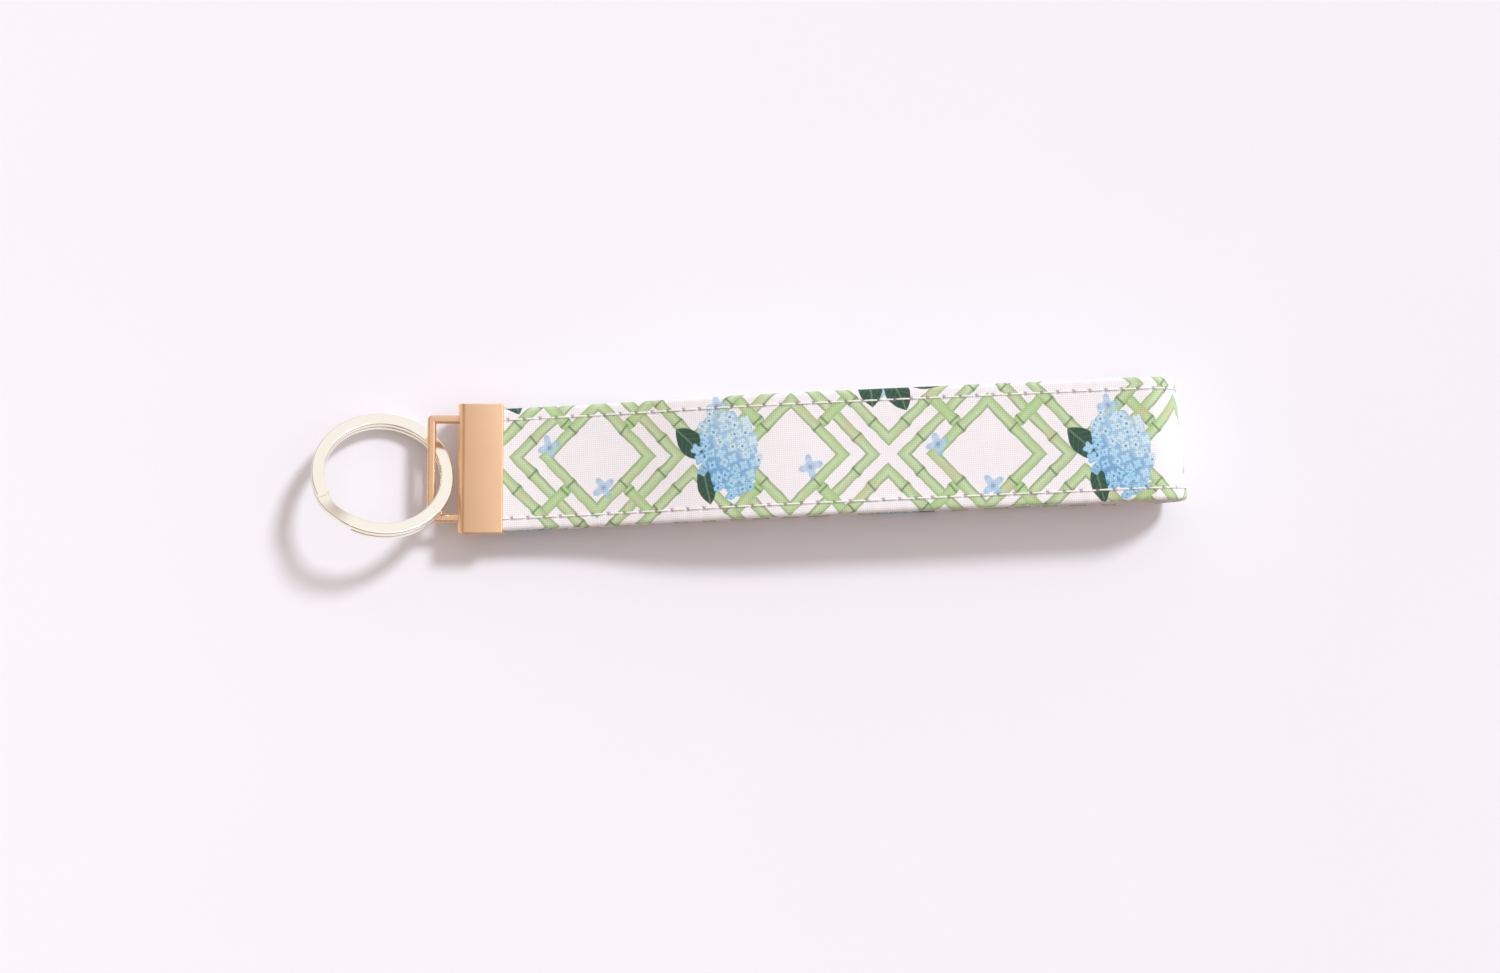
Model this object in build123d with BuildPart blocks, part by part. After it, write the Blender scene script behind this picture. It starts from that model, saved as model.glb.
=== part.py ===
from build123d import *
from math import atan2, cos, degrees, radians, sin, sqrt
import os

# A wristlet keychain: a printed cloth strap doubled into a hand loop, its two ends bitten
# by a toothed metal clamp, a rectangular bail hinged in the clamp's spine, and a split ring
# hanging on the bail. It lies on a table: +X runs along the strap from the clamp to the
# fold, +Y across it, +Z up, with the origin under the middle of the whole object.

# ---- driving dimensions, mm ----

# strap
strap_width = 25.0
strap_reach = 138.5  # clamp's mouth to the outside of the fold
loop_height = 15.8  # outside of the lower run to outside of the upper run
upper_climb = 66.0  # length over which the upper run rises from the clamp
lower_drop = 46.0  # length over which the lower run comes down to the table
face_thickness = 0.5
core_thickness = 1.1
lining_thickness = 0.4
hem_width = 0.5  # face cloth turned down beside the core
ply_gap = 0.1  # between the two runs where the clamp presses them

# sewing
stitch_pitch = 3.3
thread_width = 0.45
thread_depth = 0.28  # how far the pulled-in thread sinks below the cloth's face
needle_gap = 0.6  # bare length at each needle hole
stitch_inset = 2.4  # row's centre line from the strap's edge
basting_inset = 1.4  # basting row from the strap's cut ends
basting_room = 0.9  # basting row's ends from the edge rows

# clamp
clamp_depth = 9.3
clamp_sheet = 0.8
clamp_side = 0.7  # clamp past each edge of the strap
clamp_middle = 6.55  # height of the strap's middle in the clamp
clamp_bend = 1.5  # outside radius of the clamp's two bends
mouth_round = 0.25
clamp_edge = 0.15  # rounding round the clamp's two ends
clamp_skew = -2.8  # degrees: the clamp isn't crimped quite square across the strap
skew_pivot = 4.0  # from the mouth to the upright line about which the clamp is turned
tooth_count = 10
tooth_bite = 0.45
tooth_length = 0.9

# bail
bail_bar = 1.7
bail_edge = 0.5  # rounding along the bar
bail_corner = 0.9  # outside corner radius
bail_inset = 2.2  # bail's outside from the clamp's end
bail_reach = 7.65  # pivot to the middle of the outer bar
bail_swing = 25.0  # degrees each way
butt_gap = 0.3  # where the bail's two ends meet inside the clamp
pivot_room = 0.25  # round the inner bar
leg_room = 0.25  # round each leg in its slot

# split ring
ring_outer = 28.9  # diameter
ring_band = 2.65  # radial width of the flat wire
ring_wire = 1.14  # thickness of one coil
coil_gap = 0.06
ring_round = 0.3  # wire's rounded edges
ring_play = 1.0  # between the ring's inside and the bail's outer bar
ring_lift = 1.9  # ring's centre above the outer bar
ring_shift = -1.55  # ring's centre along the bar
ring_roll = -28.0  # degrees about X, far side down
ring_pitch = 10.0  # degrees about Y, free side up
cross_start = 211.0  # degrees round the ring to where the wire starts to cross over
cross_sweep = 34.0
end_cut = 3.0  # degrees between each wire end and the crossover

# ---- sizes that follow ----

strap_thickness = face_thickness + core_thickness + lining_thickness
channel_height = 2 * strap_thickness + ply_gap
clamp_width = strap_width + 2 * clamp_side
clamp_height = channel_height + 2 * clamp_sheet
row_y = strap_width / 2 - stitch_inset
bar_reach = sqrt(2) * (bail_bar / 2 - bail_edge) + bail_edge  # bar's farthest point
coil_pitch = ring_wire + coil_gap
wire_radius = (ring_outer - ring_band) / 2
ring_hook = ring_band / 2 + bar_reach + ring_play  # ring's line past the outer bar's
inner_bar_inset = clamp_depth - clamp_sheet - pivot_room - bar_reach

ring_tail = wire_radius - ring_hook + ring_outer / 2 * cos(radians(ring_pitch))
ring_reach = inner_bar_inset + bail_reach + ring_tail + coil_pitch * sin(radians(ring_pitch))
mouth_x = (ring_reach - strap_reach) / 2
spine_x = mouth_x - clamp_depth
pivot_x = mouth_x - inner_bar_inset
cut_x = pivot_x + bar_reach + pivot_room + strap_width / 2 * sin(radians(-clamp_skew))
outer_bar_x = pivot_x - bail_reach
fold_radius = loop_height / 2
fold_x = mouth_x + strap_reach - fold_radius
channel_top = clamp_middle + channel_height / 2
channel_bottom = clamp_middle - channel_height / 2


# ---- strap ----


def run_arcs(length, change):
    """Radius and angle of the two equal arcs that shift a run sideways by change."""
    radius = (length**2 + change**2) / (4 * change)
    return radius, degrees(2 * atan2(change, length))


upper_radius, upper_angle = run_arcs(upper_climb, loop_height - channel_top)
lower_radius, lower_angle = run_arcs(lower_drop, channel_bottom)


def strap_line(depth):
    """The strap's line at a depth below its outside, from the upper end to the lower one."""
    top = channel_top - depth
    clamped = Line((cut_x, top), (mouth_x, top))
    rise = JernArc(clamped @ 1, (1, 0), upper_radius + depth, upper_angle)
    ease = JernArc(rise @ 1, rise % 1, upper_radius - depth, -upper_angle)
    upper = Line(ease @ 1, (fold_x, loop_height - depth))
    fold = JernArc(upper @ 1, (1, 0), fold_radius - depth, -180)
    lower = Line(fold @ 1, (mouth_x + lower_drop, depth))
    lift = JernArc(lower @ 1, (-1, 0), lower_radius - depth, -lower_angle)
    level = JernArc(lift @ 1, lift % 1, lower_radius + depth, lower_angle)
    Line(level @ 1, (cut_x, channel_bottom + depth))


def strap_layer(outside, inside):
    """The side view of the stretch of strap between two depths, as a face to extrude."""
    with BuildLine() as outline:
        strap_line(outside)
        strap_line(inside)
        Line((cut_x, channel_top - outside), (cut_x, channel_top - inside))
        Line((cut_x, channel_bottom + outside), (cut_x, channel_bottom + inside))
    make_face(outline.edges())


core_top = face_thickness
core_bottom = face_thickness + core_thickness
lining_inside = strap_thickness - thread_depth
hem_planes = [
    Plane.XZ.offset(side * (strap_width / 2 - hem_width / 2)) for side in (-1, 1)
]
row_planes = {"near": Plane.XZ.offset(row_y), "far": Plane.XZ.offset(-row_y)}
basting_x = cut_x + basting_inset
basting_span = 2 * (row_y - basting_room)
basting_z = (channel_top - thread_depth / 2, channel_bottom + thread_depth / 2)

with BuildPart() as face_fabric:
    with BuildSketch(Plane.XZ):
        strap_layer(0, core_top)
    extrude(amount=strap_width / 2, both=True)
    for plane in hem_planes:
        with BuildSketch(plane):
            strap_layer(core_top, core_bottom)
        extrude(amount=hem_width / 2, both=True)
    for plane in row_planes.values():
        with BuildSketch(plane):
            strap_layer(0, thread_depth)
        extrude(amount=thread_width / 2, both=True, mode=Mode.SUBTRACT)
    with Locations(*[(basting_x, 0, z) for z in basting_z]):
        Box(thread_width, basting_span, thread_depth, mode=Mode.SUBTRACT)
face_fabric.part.label = "face_fabric"

with BuildPart() as stiffener:
    with BuildSketch(Plane.XZ):
        strap_layer(core_top, core_bottom)
    extrude(amount=strap_width / 2 - hem_width, both=True)
stiffener.part.label = "stiffener"

with BuildPart() as lining_fabric:
    with BuildSketch(Plane.XZ):
        strap_layer(core_bottom, strap_thickness)
    extrude(amount=strap_width / 2, both=True)
    for plane in row_planes.values():
        with BuildSketch(plane):
            strap_layer(lining_inside, strap_thickness)
        extrude(amount=thread_width / 2, both=True, mode=Mode.SUBTRACT)
lining_fabric.part.label = "lining_fabric"


# ---- sewing ----


def needle_holes(depth):
    """Places along the strap at a depth where the thread goes through, in its side view."""
    with BuildLine() as line:
        strap_line(depth)
    seam = line.wire()
    count = round(seam.length / stitch_pitch)
    places = []
    for step in range(1, count):
        along = seam % (step / count)
        turn = degrees(atan2(along.Y, along.X))
        places.append(Location(seam @ (step / count), (0, 0, turn)))
    return places


def seam_thread(plane, outside, inside):
    """One row of stitches lying in the cloth between two depths."""
    with BuildPart() as thread:
        with BuildSketch(plane):
            strap_layer(outside, inside)
            with Locations(*needle_holes((outside + inside) / 2)):
                Rectangle(needle_gap, 3 * thread_depth, mode=Mode.SUBTRACT)
        extrude(amount=thread_width / 2, both=True)
    return thread.part


threads = {}
for side, plane in row_planes.items():
    threads[f"needle_thread_{side}"] = seam_thread(plane, 0, thread_depth)
    threads[f"bobbin_thread_{side}"] = seam_thread(plane, lining_inside, strap_thickness)

basting_count = round(basting_span / stitch_pitch)
basting_pitch = basting_span / basting_count
with BuildPart() as end_basting:
    for z in basting_z:
        with BuildSketch(Plane.XY.offset(z)):
            with Locations((basting_x, 0)):
                with GridLocations(0, basting_pitch, 1, basting_count):
                    Rectangle(thread_width, basting_pitch - needle_gap)
        extrude(amount=thread_depth / 2, both=True)
end_basting.part.label = "end_basting"


# ---- clamp ----

slot_distance = pivot_x - spine_x
slot_half = (
    slot_distance * sin(radians(bail_swing)) + bail_bar / 2
) / cos(radians(bail_swing)) + leg_room
leg_y = clamp_width / 2 - bail_inset - bail_bar / 2
tooth_pitch = strap_width / tooth_count

with BuildPart() as clamp:
    with BuildSketch(Plane.XZ) as channel:
        with Locations((spine_x, clamp_middle)):
            Rectangle(clamp_depth, clamp_height, align=(Align.MIN, Align.CENTER))
        fillet(channel.vertices().group_by(Axis.X)[0], clamp_bend)
        with Locations((spine_x + clamp_sheet, clamp_middle)):
            Rectangle(
                clamp_depth, channel_height, align=(Align.MIN, Align.CENTER), mode=Mode.SUBTRACT
            )
        fillet(channel.vertices().group_by(Axis.X)[-1], mouth_round)
    extrude(amount=clamp_width / 2, both=True)
    fillet(clamp.faces().filter_by(Axis.Y).edges(), clamp_edge)
    with Locations((spine_x, leg_y, clamp_middle), (spine_x, -leg_y, clamp_middle)):
        Box(2.5 * clamp_sheet, bail_bar + 2 * leg_room, 2 * slot_half, mode=Mode.SUBTRACT)
    with BuildSketch(Plane.YZ.offset(mouth_x - mouth_round)):
        for height, way in ((channel_top, -1), (channel_bottom, 1)):
            with Locations((0, height)):
                with GridLocations(tooth_pitch, 0, tooth_count, 1):
                    Polygon(
                        (-tooth_pitch / 2, 0),
                        (0, way * tooth_bite),
                        (tooth_pitch / 2, 0),
                        (0, -way * clamp_sheet / 2),
                        align=None,
                    )
    extrude(amount=-tooth_length)
clamp.part.label = "clamp"


# ---- bail ----

bail_plane = Plane.XY.offset(clamp_middle - bail_bar / 2)
bail_middle = (pivot_x + outer_bar_x) / 2
with BuildPart() as bail:
    with BuildSketch(bail_plane):
        with Locations((bail_middle, 0)):
            RectangleRounded(bail_reach + bail_bar, 2 * leg_y + bail_bar, bail_corner)
            Rectangle(bail_reach - bail_bar, 2 * leg_y - bail_bar, mode=Mode.SUBTRACT)
    extrude(amount=bail_bar)
    fillet(bail.faces().filter_by(Axis.Z).edges(), bail_edge)
    with Locations((pivot_x, 0, clamp_middle)):
        Box(2 * bail_bar, butt_gap, 2 * bail_bar, mode=Mode.SUBTRACT)
bail.part.label = "bail"


# ---- split ring ----

ring_centre = (outer_bar_x - (wire_radius - ring_hook), ring_shift, clamp_middle + ring_lift)
ring_plane = Plane(ring_centre).rotated((ring_roll, ring_pitch, 0))
ring_axis = Axis(ring_centre, ring_plane.z_dir)
coil_sweep = 360 - cross_sweep - end_cut


def coil_section(angle, height):
    """The wire's section at an angle round the ring, at a height above its middle."""
    upright = Plane(ring_plane.location * Rotation(0, 0, angle) * Rotation(90, 0, 0))
    with BuildSketch(upright) as section:
        with Locations((wire_radius, height)):
            RectangleRounded(ring_band, ring_wire, ring_round)
    return section.sketch


cross_steps = 6
crossover = []
for step in range(cross_steps + 1):
    share = step / cross_steps
    rise = share * share * (3 - 2 * share)
    crossover.append((cross_start + share * cross_sweep, coil_pitch * (rise - 0.5)))

with BuildPart() as split_ring:
    lower_end = coil_section(cross_start, -coil_pitch / 2)
    revolve(lower_end, axis=ring_axis, revolution_arc=-coil_sweep)
    upper_end = coil_section(cross_start + cross_sweep, coil_pitch / 2)
    revolve(upper_end, axis=ring_axis, revolution_arc=coil_sweep)
    loft([coil_section(*place) for place in crossover])
split_ring.part.label = "split_ring"


# ---- the clamp's slant ----

# The clamp, bail and ring are drawn square to the strap and turned together here.
slant_axis = Axis((mouth_x + skew_pivot, 0, 0), (0, 0, 1))
for piece in (clamp, bail, split_ring):
    label = piece.part.label
    piece.part = piece.part.rotate(slant_axis, clamp_skew)
    piece.part.label = label


# ---- export ----

os.makedirs("parts", exist_ok=True)
for piece in (face_fabric, stiffener, lining_fabric, end_basting, clamp, bail, split_ring):
    export_step(piece.part, f"parts/{piece.part.label}.step")
for name, thread in threads.items():
    thread.label = name
    export_step(thread, f"parts/{name}.step")
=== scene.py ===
from math import atan2, ceil, cos, exp, hypot, pi, radians, sin

import bpy
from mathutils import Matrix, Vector, noise


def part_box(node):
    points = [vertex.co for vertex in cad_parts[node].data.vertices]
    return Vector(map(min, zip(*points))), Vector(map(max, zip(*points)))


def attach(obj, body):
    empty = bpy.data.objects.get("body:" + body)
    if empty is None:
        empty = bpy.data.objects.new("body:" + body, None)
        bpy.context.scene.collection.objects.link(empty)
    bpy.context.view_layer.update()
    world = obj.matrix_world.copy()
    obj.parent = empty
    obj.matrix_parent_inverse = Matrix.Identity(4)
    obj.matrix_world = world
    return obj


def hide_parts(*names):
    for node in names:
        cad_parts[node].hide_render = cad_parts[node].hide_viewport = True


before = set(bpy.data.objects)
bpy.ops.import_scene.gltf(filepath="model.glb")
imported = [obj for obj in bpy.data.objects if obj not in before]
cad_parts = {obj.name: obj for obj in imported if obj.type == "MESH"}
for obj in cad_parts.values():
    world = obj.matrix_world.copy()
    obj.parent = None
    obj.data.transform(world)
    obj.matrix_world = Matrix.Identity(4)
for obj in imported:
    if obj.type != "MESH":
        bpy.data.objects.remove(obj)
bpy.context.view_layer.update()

# The looks of a wristlet keychain: its printed cloth band, sewing, gold clamp, bail and split
# ring. Lengths are in millimetres until a mesh is made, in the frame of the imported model.

MM = 0.001

# ---- sizes; the overall ones are read from the frame ----

cloth_low, cloth_high = (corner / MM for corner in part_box("face_fabric"))
clamp_low, clamp_high = (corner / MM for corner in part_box("clamp"))
strap_width = cloth_high.y - cloth_low.y
loop_height = cloth_high.z
cut_x = cloth_low.x
strap_reach = 138.5  # clamp's mouth to the outside of the fold
mouth_x = cloth_high.x - strap_reach
clamp_middle = (clamp_low.z + clamp_high.z) / 2
fold_radius = loop_height / 2
fold_x = cloth_high.x - fold_radius

strap_thickness = 2.0
ply_gap = 0.1
upper_climb = 66.0  # length over which the upper run rises from the clamp
lower_drop = 46.0  # length over which the lower run comes down to the table
channel_top = clamp_middle + strap_thickness + ply_gap / 2
channel_bottom = clamp_middle - strap_thickness - ply_gap / 2
fold_skew = 0.7  # fold's near edge reaches this much farther than its middle
skew_span = 45  # length each side of the fold over which the skew fades away
lower_sway = 0.45  # the lower run lies this much farther back than the upper one
sway_growth = 20  # length after the fold over which the sway grows
sway_fade = 30  # length over which it fades again, before the last stretch
sway_clear = 14  # length of that last stretch, which lies straight
table_give = 0.12  # share of its depth that cloth keeps where it would be below the table

stitch_pitch = 3.3
stitch_inset = 2.4
row_y = strap_width / 2 - stitch_inset
thread_radius = 0.22
thread_depth = 0.14  # depth in the cloth at which a row's own length is taken
basting_inset = 1.4
basting_span = 2 * (row_y - 0.9)

face_cloth = 0.36  # thickness
face_edge = 0.78  # radius of the face cloth where it goes round the edge
face_hem = 4.6  # width turned in under the core
lining_cloth = 0.19
lining_edge = 0.2
lining_hem = 3.6
lining_margin = 0.15  # lining's fold from the strap's edge
core_margin = 0.42  # core's edge from the strap's edge
core_top, core_bottom = 0.5, 1.18

groove_depth, groove_width = 0.05, 0.55  # along a row of stitches
dimple_depth, dimple_width = 0.16, 0.38  # at each of its holes
groove_reach = 2.2  # nothing is pulled in farther from the row than this
wave_length, wave_width = 16, 9  # of the cloth's slow waves
wave_height, ripple_height = 0.09, 0.035
pucker_height, edge_drop = 0.05, 0.1
flat_ends, end_fade = 8, 6  # no waves this near the strap's ends, and the length they grow over

station_step = 0.41  # between the cloths' points along the strap
wide_step, row_step = 0.9, 0.2  # between them across it, and beside the rows
row_reach = 1.6  # distance from a row within which they are close

# ---- the line of the loop ----


def run_arcs(length, change):
    """Radius and angle of the two equal arcs that shift a run sideways by change."""
    radius = (length**2 + change**2) / (4 * change)
    return radius, 2 * atan2(change, length)


upper_radius, upper_angle = run_arcs(upper_climb, loop_height - channel_top)
lower_radius, lower_angle = run_arcs(lower_drop, channel_bottom)

# Each part of the strap's outside line is its length and how far it turns, in radians.
LINE_PARTS = [
    (mouth_x - cut_x, 0),
    (upper_radius * upper_angle, upper_angle),
    (upper_radius * upper_angle, -upper_angle),
    (fold_x - mouth_x - upper_climb, 0),
    (fold_radius * pi, -pi),
    (fold_x - mouth_x - lower_drop, 0),
    (lower_radius * lower_angle, -lower_angle),
    (lower_radius * lower_angle, lower_angle),
    (mouth_x - cut_x, 0),
]
strap_length = sum(length for length, turn in LINE_PARTS)
fold_start = sum(length for length, turn in LINE_PARTS[:4])


def line_place(along):
    """Point and heading on the strap's outside line, at a length from its upper end."""
    x, z, heading = cut_x, channel_top, 0.0
    for part, (length, turn) in enumerate(LINE_PARTS):
        last = part == len(LINE_PARTS) - 1
        step = along if last else min(along, length)
        if turn == 0:
            x, z = x + step * cos(heading), z + step * sin(heading)
        else:
            radius = length / turn
            after = heading + step / radius
            x += radius * (sin(after) - sin(heading))
            z -= radius * (cos(after) - cos(heading))
            heading = after
        along -= step
        if along <= 0 and not last:
            break
    return x, z, heading


def ease(share):
    """A share from 0 to 1, made to start and end gently."""
    return share * share * (3 - 2 * share)


def skew_at(along, across):
    """How far the fold leans along X at a place on the strap, because it isn't square."""
    middle = fold_start + fold_radius * pi / 2
    share = max(0.0, 1 - abs(along - middle) / skew_span)
    return -fold_skew * ease(share) * across / (strap_width / 2)


def sway_at(along):
    """How far the lower run lies back along Y at a place on the strap."""
    growth = (along - fold_start - fold_radius * pi) / sway_growth
    fade = (strap_length - along - sway_clear) / sway_fade
    return lower_sway * ease(max(0.0, min(1.0, growth, fade)))


def strap_point(along, across, depth):
    """A point of the strap, in metres: depth is measured in from its outside."""
    x, z, heading = line_place(along)
    x += depth * sin(heading) + skew_at(along, across)
    z -= depth * cos(heading)
    return Vector((x, across + sway_at(along), z)) * MM


def pressed(place):
    """A place, brought almost up to the table where it would be below it."""
    if place.z < 0:
        place.z *= table_give
    return place


# ---- mesh helpers ----


def make_piece(name, points, faces, body="strap", smooth=True):
    """A mesh object from points in metres, which rides on a body if one is named."""
    mesh = bpy.data.meshes.new(name)
    mesh.from_pydata(points, [], faces)
    mesh.validate()
    mesh.update()
    if smooth:
        mesh.shade_smooth()
    piece = bpy.data.objects.new(name, mesh)
    bpy.context.scene.collection.objects.link(piece)
    if body:
        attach(piece, body)
    return piece


def ring_faces(rings, size, first=0):
    """Faces of a closed tube of rings, each of size points, with an end cap at each end."""
    faces = [tuple(first + i for i in range(size))[::-1]]
    for ring in range(rings - 1):
        start = first + ring * size
        for i in range(size):
            j = (i + 1) % size
            faces.append((start + i, start + j, start + size + j, start + size + i))
    end = first + (rings - 1) * size
    faces.append(tuple(end + i for i in range(size)))
    return faces


def spread(start, end, step):
    """Even numbers from start to end, both included, no farther apart than step."""
    count = max(1, ceil(abs(end - start) / step - 1e-6))
    return [start + (end - start) * i / count for i in range(count + 1)]


def cloth_band(name, section, stations, relief):
    """Cloth swept along the strap. Its section lists (across, depth, unrolled) round it, and
    the unrolled place across and the length along become its print's coordinates."""
    points = []
    for along in stations:
        for across, depth, unrolled in section:
            place = strap_point(along, across, depth + relief(along, across, depth))
            points.append(pressed(place))
    band = make_piece(name, points, ring_faces(len(stations), len(section)))
    layer = band.data.uv_layers.new(name="cloth")
    size = len(section)
    flat = []
    for loop in band.data.loops:
        station, place = divmod(loop.vertex_index, size)
        u = fold_x + stations[station] - fold_start
        flat.extend((u * MM, section[place][2] * MM))
    layer.data.foreach_set("uv", flat)
    return band


# ---- the two cloths and the core ----


def stitch_holes(depth):
    """Lengths along the strap's outside of the holes of a row that lies at a depth in it."""
    seam = strap_length - pi * depth
    count = round(seam / stitch_pitch)
    return [strap_length * step / count for step in range(count + 1)]


needle_holes = stitch_holes(thread_depth)
bobbin_holes = stitch_holes(strap_thickness - thread_depth)


def row_groove(along, across, pitch):
    """Depth to which the thread pulls the cloth in at its row, deepest at each hole."""
    off_row = abs(abs(across) - row_y)
    if off_row > groove_reach:
        return 0.0
    beat = (along / pitch) % 1
    off_hole = min(beat, 1 - beat) * pitch
    groove = groove_depth * exp(-((off_row / groove_width) ** 2))
    dimple = dimple_depth * exp(-((hypot(off_row, off_hole) / dimple_width) ** 2))
    return groove * (0.55 + 0.45 * cos(2 * pi * beat)) + dimple


def waver(along, across, seed):
    """Slow waves in the cloth, and smaller ripples on them. None are near its ends."""
    place = Vector((along / wave_length, across / wave_width, seed))
    wave = wave_height * noise.noise(place) + ripple_height * noise.noise(place * 3.1)
    from_end = min(along, strap_length - along)
    return wave * min(1.0, max(0.0, (from_end - flat_ends) / end_fade))


def edge_pucker(along, across, pitch):
    """The strap's edge drawn in a little, and more beside each hole."""
    beat = (along / pitch) % 1
    outer = max(0.0, (abs(across) - row_y) / stitch_inset)
    return pucker_height * outer * cos(2 * pi * beat) + edge_drop * outer * outer


def face_relief(along, across, depth):
    """What is added to the depth of the printed cloth. Its hems, under the core, are flat."""
    pitch = needle_holes[1]
    if depth > core_bottom:
        return 0.0
    pulled = row_groove(along, across, pitch) + edge_pucker(along, across, pitch)
    return pulled + waver(along, across, 2.5)


def lining_relief(along, across, depth):
    """What is added to the depth of the lining, whose rows are pulled the other way."""
    pitch = bobbin_holes[1]
    pulled = row_groove(along, across, pitch) + edge_pucker(along, across, pitch)
    return waver(along, across, 7.5) - pulled


def across_places(reach):
    """Places across the cloth, close together at the rows of stitches."""
    inside_row = row_y - row_reach
    near_row = [inside_row + row_step * i for i in range(round(2 * row_reach / row_step) + 1)]
    inner = spread(0, inside_row, wide_step)[:-1]
    half = [y for y in inner + near_row if y < reach]
    return [-y for y in reversed(half) if y > 0] + half


def folded_section(half_width, edge, hem, thickness, outside, way):
    """Section of a cloth whose two edges are turned under. The cloth's outside is at the
    depth outside, and way is 1 where it turns towards greater depth, or -1."""
    turn_y = half_width - edge
    turns = 9  # faces round the turned edge
    outer, inner = [], []

    def add(across, depth, unrolled, inward):
        outer.append((across, outside + way * depth, unrolled))
        inner.append((across + inward[0], outside + way * (depth + inward[1]), unrolled))

    for y in spread(turn_y - hem, turn_y, wide_step)[:-1]:
        add(-y, 2 * edge, -(turn_y + pi * edge + turn_y - y), (0, -thickness))
    for step in range(turns + 1):
        angle = pi * step / turns
        lean = (sin(angle), cos(angle))
        place = (-turn_y - edge * lean[0], edge + edge * lean[1])
        spent = -(turn_y + edge * (pi - angle))
        add(*place, spent, (thickness * lean[0], -thickness * lean[1]))
    half = len(outer)
    for y in across_places(turn_y - 0.05):
        add(y, 0, y, (0, thickness))
    for across, depth, unrolled in reversed(outer[:half]):
        outer.append((-across, depth, -unrolled))
    for across, depth, unrolled in reversed(inner[:half]):
        inner.append((-across, depth, -unrolled))
    return outer + inner[::-1]


def flat_width(section):
    """Length of a section's outer half, which is the width the cloth was cut to."""
    half = section[: len(section) // 2]
    return sum(hypot(b[0] - a[0], b[1] - a[1]) for a, b in zip(half, half[1:]))


cloth_stations = spread(0, strap_length, station_step)
face_section = folded_section(strap_width / 2, face_edge, face_hem, face_cloth, 0.0, 1)
face = cloth_band("printed_face", face_section, cloth_stations, face_relief)
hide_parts("face_fabric")

lining_section = folded_section(
    strap_width / 2 - lining_margin, lining_edge, lining_hem, lining_cloth, strap_thickness, -1
)
lining = cloth_band(
    "cloth_lining", lining_section, cloth_stations, lining_relief
)
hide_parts("lining_fabric")

core_half = strap_width / 2 - core_margin
core_round = (core_bottom - core_top) / 2
core_turns = 6  # faces round each of its edges
core_section = []
for side in (1, -1):
    for step in range(core_turns + 1):
        angle = pi * step / core_turns
        across = side * (core_half - core_round + core_round * sin(angle))
        depth = (core_top + core_bottom) / 2 - side * core_round * cos(angle)
        core_section.append((across, depth, across))
core_stations = spread(0, strap_length, 0.8)
core = cloth_band("webbing_core", core_section, core_stations, lambda *place: 0.0)
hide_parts("stiffener")

cut_length = strap_length * MM
flat_width(face_section) * MM
flat_width(lining_section) * MM

# ---- sewing ----

thread_sides = 10
thread_turns = 1.3  # turns of the two plies in one stitch
end_taper = 0.38  # share of its thickness that a stitch loses at its ends
ply_dent = 0.18  # share that it loses between its plies
stitch_rings = 15
stitch_gap = 0.1  # from a stitch's end to its hole
stitch_rise, stitch_dive = 0.05, 0.44  # its middle above the cloth, its ends below
stitch_wander = 0.05  # how far it strays from its row
basting_rings = 11
basting_gap = 0.2
basting_depth = 0.12  # the cloth's surface that the basting lies on
basting_rise, basting_dive = 0.02, 0.2


def twisted_stitch(points, ups, sides, faces, line):
    """Adds one stitch of two-ply thread along a line of points. Ups and sides are the two
    directions square to the line at each point."""
    first = len(points)
    for ring, middle in enumerate(line):
        share = ring / (len(line) - 1)
        taper = 1 - end_taper + end_taper * min(1.0, 4 * min(share, 1 - share))
        twist = share * thread_turns * 2 * pi
        for i in range(thread_sides):
            angle = 2 * pi * i / thread_sides
            lobe = 1 - ply_dent + ply_dent * abs(cos(angle - twist))
            out = ups[ring] * cos(angle) + sides[ring] * sin(angle)
            points.append(pressed(middle + out * thread_radius * taper * lobe * MM))
    faces.extend(ring_faces(len(line), thread_sides, first))


def seam_row(name, side, holes, depth, way, replaced):
    """One row of stitches. Depth is that of the cloth's surface, and way is 1 where it is
    the strap's outside, or -1 where it is the inside."""
    points, faces = [], []
    for start, end in zip(holes, holes[1:]):
        line, ups, sides = [], [], []
        wander = stitch_wander * noise.noise(Vector((start, side * 7.0, depth)))
        for ring in range(stitch_rings):
            share = ring / (stitch_rings - 1)
            along = start + stitch_gap + (end - start - 2 * stitch_gap) * share
            lift = min(1.0, 2.9 * sin(pi * share)) ** 0.7
            height = stitch_rise * lift - stitch_dive * (1 - lift)
            across = side * row_y + wander * sin(pi * share)
            line.append(strap_point(along, across, depth - way * height))
            heading = line_place(along)[2]
            ups.append(Vector((-sin(heading), 0, cos(heading))))
            sides.append(Vector((0, 1, 0)))
        twisted_stitch(points, ups, sides, faces, line)
    row = make_piece(name, points, faces)
    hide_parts(replaced)
    return row


seam_rows = []
for side, label in ((-1, "near"), (1, "far")):
    seam_rows.append(
        seam_row(f"top_stitch_{label}", side, needle_holes, 0.0, 1, f"needle_thread_{label}")
    )
    seam_rows.append(
        seam_row(
            f"under_stitch_{label}", side, bobbin_holes, strap_thickness, -1,
            f"bobbin_thread_{label}",
        )
    )

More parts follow.
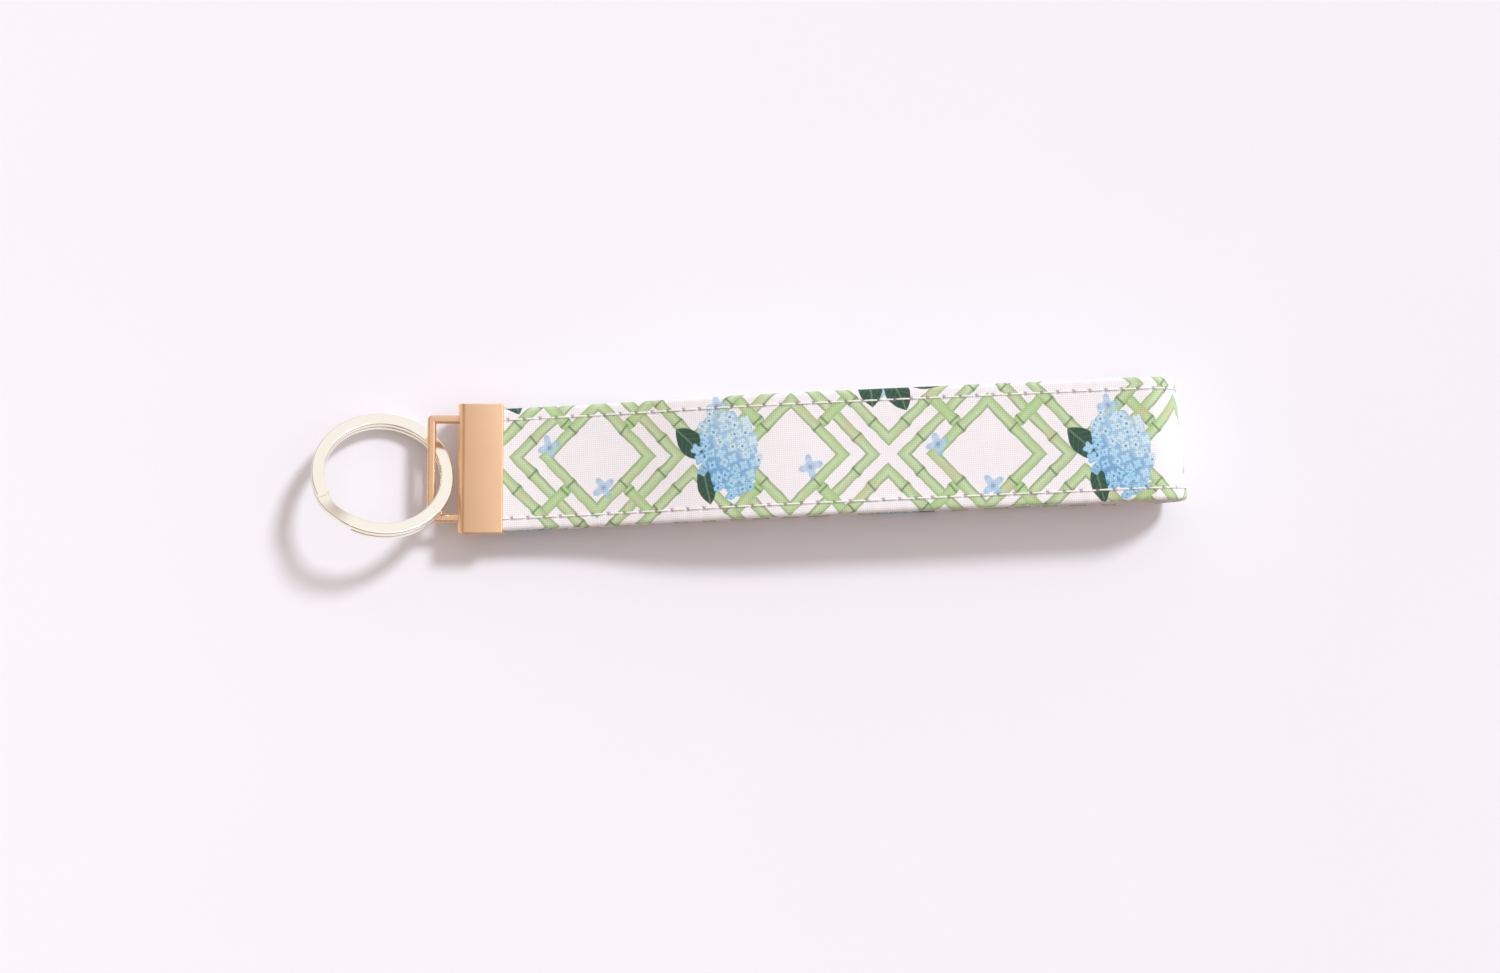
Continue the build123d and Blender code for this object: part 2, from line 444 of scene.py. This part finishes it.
basting_points, basting_faces = [], []
basting_count = round(basting_span / stitch_pitch)
basting_pitch = basting_span / basting_count
for along in (basting_inset, strap_length - basting_inset):
    heading = line_place(along)[2]
    for step in range(basting_count):
        start = -basting_span / 2 + step * basting_pitch
        line, ups, sides = [], [], []
        for ring in range(basting_rings):
            share = ring / (basting_rings - 1)
            across = start + basting_gap + (basting_pitch - 2 * basting_gap) * share
            height = basting_rise - basting_dive * (1 - sin(pi * share)) ** 2
            line.append(strap_point(along, across, basting_depth - height))
            ups.append(Vector((-sin(heading), 0, cos(heading))))
            sides.append(Vector((cos(heading), 0, sin(heading))))
        twisted_stitch(basting_points, ups, sides, basting_faces, line)
basting = make_piece("basting_stitches", basting_points, basting_faces)
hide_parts("end_basting")

# ---- shader helpers ----


class Field:
    """A number that varies over a surface, worked out by shader nodes."""

    def __init__(self, tree, socket):
        self.tree = tree
        self.socket = socket

    def math(self, operation, *others):
        node = self.tree.nodes.new("ShaderNodeMath")
        node.operation = operation
        for place, value in enumerate((self, *others)):
            feed(self.tree, node.inputs[place], value)
        return Field(self.tree, node.outputs[0])

    def __add__(self, other):
        return self.math("ADD", other)

    def __sub__(self, other):
        return self.math("SUBTRACT", other)

    def __mul__(self, other):
        return self.math("MULTIPLY", other)

    def __truediv__(self, other):
        return self.math("DIVIDE", other)

    def __abs__(self):
        return self.math("ABSOLUTE")

    def least(self, other):
        return self.math("MINIMUM", other)

    def most(self, other):
        return self.math("MAXIMUM", other)

    def wrap(self, half):
        """The number brought between -half and half by whole steps of their distance."""
        return self.math("WRAP", half, -half)

    def above(self, edge, soft):
        """1 where the number is above edge, 0 where it is below, with a soft change."""
        return self.between(edge - soft, edge + soft, 0.0, 1.0)

    def below(self, edge, soft):
        """1 where the number is below edge, 0 where it is above, with a soft change."""
        return self.between(edge - soft, edge + soft, 1.0, 0.0)

    def between(self, low, high, start, end):
        """Start up to low, end from high on, and a smooth change from one to the other."""
        node = self.tree.nodes.new("ShaderNodeMapRange")
        node.interpolation_type = "SMOOTHSTEP"
        for place, value in enumerate((self, low, high, start, end)):
            feed(self.tree, node.inputs[place], value)
        return Field(self.tree, node.outputs[0])

    def towards(self, other, share):
        """This number moved to the other one by a share that varies."""
        node = self.tree.nodes.new("ShaderNodeMix")
        feed(self.tree, node.inputs[0], share)
        feed(self.tree, node.inputs[2], self)
        feed(self.tree, node.inputs[3], other)
        return Field(self.tree, node.outputs[0])


def feed(tree, socket, value):
    """Links a field or a socket to an input, or sets the input to a plain value."""
    if isinstance(value, Field):
        tree.links.new(value.socket, socket)
    elif isinstance(value, bpy.types.NodeSocket):
        tree.links.new(value, socket)
    else:
        socket.default_value = value


def linear(colour):
    """A colour picked as 0-255 screen values, as the linear one that shaders use."""
    parts = [c / 255 for c in colour]
    return [p / 12.92 if p <= 0.04045 else ((p + 0.055) / 1.055) ** 2.4 for p in parts] + [1]


def paint(tree, under, over, share):
    """The under colour covered by the over colour, by a share that varies."""
    node = tree.nodes.new("ShaderNodeMix")
    node.data_type = "RGBA"
    feed(tree, node.inputs[0], share)
    for place, colour in ((6, under), (7, over)):
        plain = isinstance(colour, tuple)
        feed(tree, node.inputs[place], linear(colour) if plain else colour)
    return node.outputs[2]


def ramp(tree, value, stops):
    """A colour read off a list of (place, colour) stops by a number from 0 to 1."""
    node = tree.nodes.new("ShaderNodeValToRGB")
    elements = node.color_ramp.elements
    for place, colour in stops[2:]:
        elements.new(place)
    for element, (place, colour) in zip(elements, stops):
        element.position = place
        element.color = linear(colour)
    feed(tree, node.inputs[0], value)
    return node.outputs[0]


def joined(tree, *parts):
    """A vector of two or three numbers."""
    node = tree.nodes.new("ShaderNodeCombineXYZ")
    for place, value in enumerate(parts):
        feed(tree, node.inputs[place], value)
    return node.outputs[0]


def split(tree, vector):
    """The three numbers of a vector."""
    node = tree.nodes.new("ShaderNodeSeparateXYZ")
    feed(tree, node.inputs[0], vector)
    return [Field(tree, node.outputs[i]) for i in range(3)]


def scaled(tree, vector, factor):
    """A vector times a plain number."""
    node = tree.nodes.new("ShaderNodeVectorMath")
    node.operation = "SCALE"
    feed(tree, node.inputs[0], vector)
    node.inputs["Scale"].default_value = factor
    return node.outputs[0]


def cloud(tree, vector, size, detail=2.0, rough=0.5):
    """Noise whose blotches are about size across. Gives its value and its colour."""
    node = tree.nodes.new("ShaderNodeTexNoise")
    feed(tree, node.inputs["Vector"], vector)
    node.inputs["Scale"].default_value = 1 / size
    node.inputs["Detail"].default_value = detail
    node.inputs["Roughness"].default_value = rough
    return Field(tree, node.outputs["Fac"]), node.outputs["Color"]


def new_material(name, **settings):
    """A material with one Principled shader, whose sockets get these plain values."""
    material = bpy.data.materials.new(name)
    material.use_nodes = True
    tree = material.node_tree
    shader = next(n for n in tree.nodes if n.type == "BSDF_PRINCIPLED")
    for label, value in settings.items():
        shader.inputs[label.replace("_", " ")].default_value = value
    return material, tree, shader


def bump(tree, shader, height, distance):
    """Gives the shader a relief. Distance is what a height of 1 stands for, in metres."""
    node = tree.nodes.new("ShaderNodeBump")
    node.inputs["Distance"].default_value = distance
    node.inputs["Strength"].default_value = 1.0
    feed(tree, node.inputs["Height"], height)
    tree.links.new(node.outputs[0], shader.inputs["Normal"])


def cloth_places(tree):
    """Length along and place across the cloth, in millimetres, and both as one vector."""
    node = tree.nodes.new("ShaderNodeUVMap")
    node.uv_map = "cloth"
    vector = scaled(tree, node.outputs[0], 1 / MM)
    along, across = split(tree, vector)[:2]
    return along, across, vector


def solid_places(tree):
    """Place in the solid, in millimetres."""
    node = tree.nodes.new("ShaderNodeTexCoord")
    return scaled(tree, node.outputs["Object"], 1 / MM)


def weave(along, across, yarn):
    """Height of a plain weave, 0 in its gaps to 1 on top of a yarn. Yarns lie this far
    apart both ways."""
    across, along = across * (pi / yarn), along * (pi / yarn)
    warp, weft = abs(across.math("SINE")), abs(along.math("SINE"))
    turn = along.math("COSINE") * across.math("COSINE")
    over = turn.above(0.0, 0.25)
    return (weft * 0.85).towards(warp, over)


# ---- printed cloth ----

print_origin = (8.85, -0.08)  # middle of a trellis cell: along, then across, the strap
print_turn = radians(2.46)  # the cells' rows, off the strap's own line
print_lean = radians(3.33)  # their columns, off square to the strap
print_stretch = (1.008, 1.037)  # along, then across
cell_length = 39.34
cell_row = 13.7  # half of the cell's height
cane_half = 1.5
open_half = 9.1  # middle of a cell to the first cane
first_cane = open_half + cane_half
second_cane = first_cane + 6.0
print_waver = 0.55  # how far the drawing's lines stray
# How far before the cell's middle the large flower head stands, and after it the small one.
large_head, small_head = 12.4, 20.0

# Where loose flowers stand about the middle of every second cell, and of the cells between:
# place, turn in degrees and reach.
EVEN_FLORETS = [((-9.9, 2.0), 20, 2.6), ((1.3, -6.1), 38, 2.7)]
ODD_FLORETS = [((4.1, -2.4), 15, 2.7)]

# Leaves about the large and the small flower head: place, turn in degrees, half length, half width.
LARGE_HEAD_LEAVES = [((-7.6, 2.2), -42, 4.4, 2.5), ((-4.5, -5.8), -76, 4.0, 1.85)]
SMALL_HEAD_LEAVES = [
    ((-4.2, 13.2), -82, 4.2, 2.5), ((1.2, 12.4), -62, 4.4, 2.5), ((6.2, 14.0), -10, 3.6, 1.3),
]


class Trellis:
    """Canes laid one over another: where they cover, their shading across and their tone."""

    profile = None

    def lay(self, off_middle, run, knot, tone):
        """Lays a cane. Run is the length along it, and knot is its joint's place there."""
        from_knot = abs(run - knot)
        swell = from_knot.between(0.2, 1.5, 0.22, 0.0) + cane_half
        cover = (swell - abs(off_middle)).above(0.0, 0.1)
        shade = off_middle / cane_half
        joint = from_knot.below(0.3, 0.12)
        if self.profile is None:
            self.cover, self.profile = cover, shade
            self.joint, self.tone = joint, cover * tone
        else:
            self.cover = self.cover.most(cover)
            self.profile = self.profile.towards(shade, cover)
            self.joint = self.joint.towards(joint, cover)
            self.tone = self.tone.towards(tone, cover)


def local_axes(x, y, centre, turn):
    """Coordinates about a centre, turned so that the first runs along the turn, in degrees."""
    dx, dy = x - centre[0], y - centre[1]
    c, s = cos(radians(turn)), sin(radians(turn))
    return dx * c + dy * s, dy * c - dx * s


def four_petals(x, y):
    """Cosine of four times the angle, which has a top along each axis, and the radius."""
    square = (x * x + y * y).most(0.0001)
    cross = x * y
    return (cross * cross) / (square * square) * -8.0 + 1.0, square.math("SQRT")


def add_floret(tree, colour, x, y, centre, turn, reach):
    """A small loose flower of four pale petals."""
    fx, fy = local_axes(x, y, centre, turn)
    lobes, radius = four_petals(fx, fy)
    outline = radius / reach - lobes * 0.24
    petals = outline.below(0.66, 0.1)
    tone = (radius / reach).between(0.0, 0.9, 0.0, 1.0)
    petal = ramp(tree, tone, [
        (0.0, (116, 150, 196)), (0.16, (168, 200, 232)),
        (0.6, (184, 216, 240)), (1.0, (150, 190, 226)),
    ])
    return paint(tree, colour, petal, petals * 0.82)


def add_leaf(tree, colour, x, y, centre, turn, half_length, half_width):
    """A dark pointed leaf with a lighter midrib and side veins."""
    run, off = local_axes(x, y, centre, turn)
    share = run / half_length
    half = share * share * -half_width + half_width
    inside = (half - abs(off)).above(0.0, 0.12)
    veins = abs((run * 2.4 - abs(off) * 2.0).math("SINE")).below(0.25, 0.2) * 0.35
    rib = abs(off).below(0.16, 0.1)
    leaf = paint(tree, (58, 88, 72), (102, 134, 110), rib.most(veins))
    return paint(tree, colour, leaf, inside)


def add_head(tree, colour, x, y, centre, sizes, lean):
    """A round flower head made of many small four-petalled flowers. Sizes are its half
    width and half height, and every second flower, by chance, is turned by 45 degrees."""
    hx, hy = local_axes(x, y, centre, lean)
    node = tree.nodes.new("ShaderNodeTexVoronoi")
    feed(tree, node.inputs["Vector"], joined(tree, hx, hy, 3.7))
    node.inputs["Scale"].default_value = 1 / 2.1
    node.inputs["Randomness"].default_value = 0.5
    cx, cy = split(tree, node.outputs["Position"])[:2]
    chance = split(tree, node.outputs["Color"])
    ex, ey = cx / sizes[0], cy / sizes[1]
    inside = (ex * ex + ey * ey).below(1.0, 0.02)
    px, py = hx - cx, hy - cy
    spin = chance[1].above(0.5, 0.05)
    rx = px.towards((px + py) * cos(pi / 4), spin)
    ry = py.towards((py - px) * cos(pi / 4), spin)
    lobes, radius = four_petals(rx, ry)
    petal = radius - lobes * 0.22
    fringe = (ex * ex + ey * ey).between(0.6, 1.0, 0.0, 1.0)
    solid = petal.below(1.02, 0.1).most(fringe.below(0.5, 0.3))
    lit = (hx * 0.5 + hy * 0.42 + chance[0] * 3.6) / 8.0
    side = lit.between(-0.55, 0.95, 0.0, 1.0)
    deep = ramp(tree, petal, [
        (0.0, (156, 210, 242)), (0.55, (164, 216, 244)), (0.8, (144, 198, 235)),
        (0.95, (116, 172, 220)), (1.0, (112, 166, 216)),
    ])
    pale = ramp(tree, petal, [
        (0.0, (222, 242, 250)), (0.55, (217, 238, 248)), (0.8, (205, 230, 244)),
        (0.95, (188, 217, 237)), (1.0, (182, 213, 235)),
    ])
    bloom = paint(tree, deep, pale, side)
    heart = radius.below(0.24, 0.12) * chance[2].between(0.3, 0.7, 0.15, 0.8)
    bloom = paint(tree, bloom, (84, 112, 158), heart)
    return paint(tree, colour, bloom, inside * solid)


def trellis_print(tree, along, across):
    """The printed picture: a trellis of canes with flower heads, leaves and small flowers."""
    dx, dy = along - print_origin[0], across - print_origin[1]
    p = (dx * cos(print_lean) - dy * sin(print_lean)) / print_stretch[0]
    q = (dx * sin(print_turn) + dy * cos(print_turn)) / print_stretch[1]
    wobble = cloud(tree, joined(tree, p, q, 0.0), 3.2, 1.0)[1]
    wx, wy = split(tree, wobble)[:2]
    p, q = p + (wx - 0.5) * print_waver, q + (wy - 0.5) * print_waver

    cells = []
    for step in (0, 1):
        x = (p - step * cell_length / 2).wrap(cell_length / 2)
        y = (q - step * cell_row).wrap(cell_row)
        rise, fall = x + y, x - y
        cells.append((abs(rise).most(abs(fall)), abs(rise).least(abs(fall))))
    # For each of the two sets of cells: how far a place is from the middle of its cell, square
    # to the nearest side, and how far along that side. Both are 1.41 times the real lengths.
    (far_a, run_a), (far_b, run_b) = cells
    inside = far_a.below(first_cane, 0.05).most(far_b.below(first_cane, 0.05))
    spoke = run_a + inside * 9.0

    canes = Trellis()
    canes.lay(far_a - second_cane, run_a, 9.9, 0.2)
    canes.lay(spoke, far_a, 13.4, 0.95)
    canes.lay(far_b - first_cane, run_b, 4.0, 0.35)
    canes.lay(far_a - first_cane, run_a, 0.0, 0.45)

    place = joined(tree, p, q, 0.0)
    blotch = cloud(tree, place, 2.6, 3.0)[0]
    age = cloud(tree, joined(tree, p, q, 40.0), 5.0, 2.0)[0]
    cane = ramp(tree, canes.profile * 0.5 + 0.5, [
        (0.0, (116, 144, 98)), (0.12, (152, 180, 128)), (0.32, (206, 223, 180)),
        (0.56, (197, 217, 166)), (0.8, (179, 203, 150)), (0.93, (156, 184, 132)),
        (1.0, (130, 160, 112)),
    ])
    greener = canes.tone * blotch.between(0.3, 0.7, 0.1, 0.75)
    fresh = paint(tree, cane, (166, 212, 124), greener)
    dry = paint(tree, fresh, (206, 194, 152), age.between(0.5, 0.72, 0.0, 0.55))
    knotted = paint(tree, dry, (92, 124, 80), canes.joint * 0.8)
    ground = paint(tree, (252, 247, 250), (247, 242, 247), blotch)
    colour = paint(tree, ground, knotted, canes.cover * 0.92)

    # The flowers and leaves repeat every second cell.
    even_x = (p + cell_length).wrap(cell_length)
    odd_x = p.wrap(cell_length)
    for x, florets in ((even_x, EVEN_FLORETS), (odd_x, ODD_FLORETS)):
        for floret in florets:
            colour = add_floret(tree, colour, x, q, *floret)
    x = (p + large_head).wrap(cell_length)
    for leaf in LARGE_HEAD_LEAVES:
        colour = add_leaf(tree, colour, x, q, *leaf)
    colour = add_head(tree, colour, x, q, (0.0, 0.6), sizes=(6.4, 8.9), lean=18)
    colour = add_floret(tree, colour, x, q, (-2.6, 9.6), turn=10, reach=2.5)
    x = (p - small_head).wrap(cell_length)
    colour = add_head(tree, colour, x, q, (-0.9, 17.9), sizes=(5.0, 6.4), lean=0)
    for leaf in SMALL_HEAD_LEAVES:
        colour = add_leaf(tree, colour, x, q, *leaf)
    return colour


hole_radius = 0.42
hole_shade_share = 0.65  # how much of the cloth's own colour a hole's painted shade hides


def paint_hole_shade(tree, colour, along, across, pitch, first):
    """Paints shade into the needle holes of the two rows of stitches."""
    run = (along - first).wrap(pitch / 2)
    off = abs(across) - row_y
    hole = (run * run + off * off).math("SQRT")
    # Painted shade: a dark dot at each hole stands in for the shade inside it
    return paint(tree, colour, (138, 127, 140), hole.below(hole_radius, 0.2) * hole_shade_share)


def cloth_finish(tree, shader, colour, along, across, yarn, depth):
    """Weave and fluff over a cloth's colour, with painted shade in the weave's gaps. Yarn is
    the distance from yarn to yarn, and depth is the weave's relief, in metres."""
    height = weave(along, across, yarn)
    fluff = cloud(tree, joined(tree, along, across, 9.0), 0.25, 3.0)[0]
    # Painted shade: the colour is darkened in the weave's gaps, where shade would fall
    shaded = paint(tree, (206, 202, 208), (255, 255, 255), height.between(0.0, 0.7, 0.0, 1.0))
    node = tree.nodes.new("ShaderNodeMix")
    node.data_type = "RGBA"
    node.blend_type = "MULTIPLY"
    node.inputs[0].default_value = 0.4
    feed(tree, node.inputs[6], colour)
    feed(tree, node.inputs[7], shaded)
    tree.links.new(node.outputs[2], shader.inputs["Base Color"])
    rough = fluff.between(0.3, 0.7, 0.72, 0.9)
    tree.links.new(rough.socket, shader.inputs["Roughness"])
    bump(tree, shader, height + fluff * 0.35, depth)


first_hole = fold_x - fold_start  # where the strap's upper end is, in the print's own lengths

material, tree, shader = new_material(
    "printed_cloth", Sheen_Weight=0.12, Sheen_Roughness=0.5, Specular_IOR_Level=0.25
)
along, across, vector = cloth_places(tree)
picture = trellis_print(tree, along, across)
picture = paint_hole_shade(tree, picture, along, across, needle_holes[1], first_hole)
cloth_finish(tree, shader, picture, along, across, yarn=0.42, depth=0.00006)
face.data.materials.append(material)

material, tree, shader = new_material(
    "lining_cloth", Sheen_Weight=0.15, Sheen_Roughness=0.5, Specular_IOR_Level=0.2
)
along, across, vector = cloth_places(tree)
soft_patch = cloud(tree, vector, 6.0)[0]
plain = paint(tree, (246, 240, 240), (236, 229, 230), soft_patch)
plain = paint_hole_shade(tree, plain, along, across, bobbin_holes[1], first_hole)
cloth_finish(tree, shader, plain, along, across, yarn=0.34, depth=0.00005)
lining.data.materials.append(material)

material, tree, shader = new_material("core_webbing", Specular_IOR_Level=0.2)
along, across, vector = cloth_places(tree)
patch = cloud(tree, vector, 3.0)[0]
webbing = paint(tree, (232, 226, 216), (216, 208, 196), patch)
cloth_finish(tree, shader, webbing, along, across, yarn=1.1, depth=0.0001)
core.data.materials.append(material)

# ---- thread ----

material, tree, shader = new_material(
    "thread", Sheen_Weight=0.2, Sheen_Roughness=0.4, Specular_IOR_Level=0.35
)
place = solid_places(tree)
fibre = cloud(tree, place, 0.09, 3.0, 0.6)[0]
tint = cloud(tree, place, 6.0)[0]
base = paint(tree, (250, 247, 246), (232, 228, 226), tint)
base = paint(tree, base, (206, 200, 200), fibre.between(0.45, 0.75, 0.0, 0.6))
tree.links.new(base, shader.inputs["Base Color"])
tree.links.new(fibre.between(0.3, 0.7, 0.5, 0.75).socket, shader.inputs["Roughness"])
bump(tree, shader, fibre, 0.00004)
for piece in (*seam_rows, basting):
    piece.data.materials.append(material)

# ---- metals ----


def metal(name, colours, rough, grain, grain_depth, crown=0.0, middle=0.0):
    """Plated metal: its colour drifts, its polish varies and its edges get a painted highlight,
    a brighter colour along them. Colours are its two tones and that painted highlight's,
    rough is its roughness from least to most, and a crown makes its face swell a little about
    a line across the part."""
    material, tree, shader = new_material(name, Metallic=1.0)
    place = solid_places(tree)
    drift = cloud(tree, place, 7.0, 2.0)[0]
    speckle = cloud(tree, place, 0.35, 4.0, 0.6)[0]
    bevel = tree.nodes.new("ShaderNodeBevel")
    bevel.samples = 4
    bevel.inputs["Radius"].default_value = 0.0003
    flat = tree.nodes.new("ShaderNodeNewGeometry")
    facing = tree.nodes.new("ShaderNodeVectorMath")
    facing.operation = "DOT_PRODUCT"
    tree.links.new(bevel.outputs[0], facing.inputs[0])
    tree.links.new(flat.outputs["Normal"], facing.inputs[1])
    edge = Field(tree, facing.outputs["Value"]).between(0.84, 0.998, 1.0, 0.0)
    # Painted highlight: a brighter colour along the rounded edges, broken up by noise, stands in
    # for light caught there
    edge_highlight = edge * speckle.between(0.35, 0.65, 0.3, 1.0)
    base = paint(tree, colours[0], colours[1], drift)
    base = paint(tree, base, colours[2], edge_highlight * 0.6)
    tree.links.new(base, shader.inputs["Base Color"])
    fine = cloud(tree, place, grain, 2.0, 0.5)[0]
    polish = speckle.between(0.3, 0.75, rough[0], rough[1]) + edge_highlight * 0.06
    tree.links.new(polish.socket, shader.inputs["Roughness"])
    relief = (fine + speckle * 0.5) * grain_depth
    if crown:
        off = split(tree, place)[0] - middle
        relief = relief - off * off * crown
    bump(tree, shader, relief, MM)
    return material


# The third colour of each metal is the painted highlight along its edges
satin_colours = ((250, 212, 176), (246, 203, 162), (254, 232, 208))
crowned = metal(
    "satin_gold_clamp", satin_colours, rough=(0.34, 0.46), grain=0.12, grain_depth=0.004,
    crown=0.009, middle=(clamp_low.x + clamp_high.x) / 2,
)
satin = metal(
    "satin_gold_bail", satin_colours, rough=(0.26, 0.36), grain=0.12, grain_depth=0.003
)
# Here too the third colour is the painted highlight along the edges
polished_colours = ((254, 251, 241), (252, 247, 231), (255, 253, 248))
polished = metal(
    "polished_gold", polished_colours, rough=(0.1, 0.18), grain=0.5, grain_depth=0.002
)
for node_name, material in (("clamp", crowned), ("bail", satin), ("split_ring", polished)):
    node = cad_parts[node_name]
    if not node.material_slots:
        node.data.materials.append(material)
    for held in node.material_slots:
        held.material = material

# ---- floor, light and camera ----

material, tree, shader = new_material("paper_floor", Roughness=0.9, Specular_IOR_Level=0.1)
place = solid_places(tree)
tone = cloud(tree, place, 90.0, 2.0)[0]
paper = paint(tree, (244, 242, 249), (241, 238, 246), tone)
tree.links.new(paper, shader.inputs["Base Color"])
floor_half = 12  # metres from its middle to its sides
floor_level = -0.06 * MM  # just under the cloth's lowest point
floor_corners = [
    (x * floor_half, y * floor_half, floor_level)
    for x, y in ((-1, -1), (1, -1), (1, 1), (-1, 1))
]
floor = make_piece("floor", floor_corners, [(0, 1, 2, 3)], body=None, smooth=False)
floor.data.materials.append(material)

view_roll = radians(2.55)  # how far the strap is turned in the picture
picture_right = Vector((cos(view_roll), -sin(view_roll), 0))
picture_up = Vector((sin(view_roll), cos(view_roll), 0))
view_elevation = radians(86.0)
view_target = Vector((0.44, -6.0, 12.5)) * MM
view_distance = 0.5913  # metres

camera_data = bpy.data.cameras.new("camera")
camera_data.lens = 70
camera_data.sensor_width = 36
camera_data.clip_start = 0.01
camera_data.clip_end = 50
camera = bpy.data.objects.new("camera", camera_data)
bpy.context.scene.collection.objects.link(camera)
back = Vector((0, 0, sin(view_elevation))) - picture_up * cos(view_elevation)
camera.location = view_target + back * view_distance
camera.rotation_euler = back.to_track_quat("Z", "Y").to_euler()
turned = camera.rotation_euler.to_matrix()
upright = back.cross(picture_right)  # the direction that has to be up in the picture
slip = atan2(upright.dot(turned @ Vector((1, 0, 0))), upright.dot(turned @ Vector((0, 1, 0))))
camera.rotation_euler.rotate_axis("Z", -slip)
bpy.context.scene.camera = camera

key_data = bpy.data.lights.new("key", "SUN")
key_data.energy = 2.1
key_data.angle = radians(11)
key_data.color = (0.90, 0.95, 1.0)
key = bpy.data.objects.new("key", key_data)
bpy.context.scene.collection.objects.link(key)
# A shadow falls this far to the left and down the picture, in heights of what casts it.
shadow_left, shadow_down = 0.757, 0.72
falling = -shadow_left * picture_right - shadow_down * picture_up + Vector((0, 0, -1))
key.rotation_euler = falling.to_track_quat("-Z", "Y").to_euler()
key.location = -falling * 0.5

fill_data = bpy.data.lights.new("fill", "AREA")
fill_data.energy = 0.5
fill_data.size = 0.5
fill_data.color = (1.0, 0.86, 0.74)
fill = bpy.data.objects.new("fill", fill_data)
bpy.context.scene.collection.objects.link(fill)
fill_way = Vector((-0.96, -0.12, 0.25)).normalized()
fill_distance = 0.6  # metres
fill.location = Vector((mouth_x, 0, 8)) * MM + fill_way * fill_distance
fill.rotation_euler = fill_way.to_track_quat("Z", "Y").to_euler()

world = bpy.data.worlds.new("studio")
bpy.context.scene.world = world
world.use_nodes = True
tree = world.node_tree
background = next(n for n in tree.nodes if n.type == "BACKGROUND")
node = tree.nodes.new("ShaderNodeTexCoord")
glow = tree.nodes.new("ShaderNodeVectorMath")
glow.operation = "DOT_PRODUCT"
tree.links.new(node.outputs["Generated"], glow.inputs[0])
glow.inputs[1].default_value = -falling.normalized()
near_key = Field(tree, glow.outputs["Value"]).between(0.25, 0.9, 0.0, 1.0)
room = paint(tree, (159, 141, 125), (251, 248, 248), near_key)
tree.links.new(room, background.inputs["Color"])
background.inputs["Strength"].default_value = 1.0

bpy.context.scene.view_settings.view_transform = "Standard"
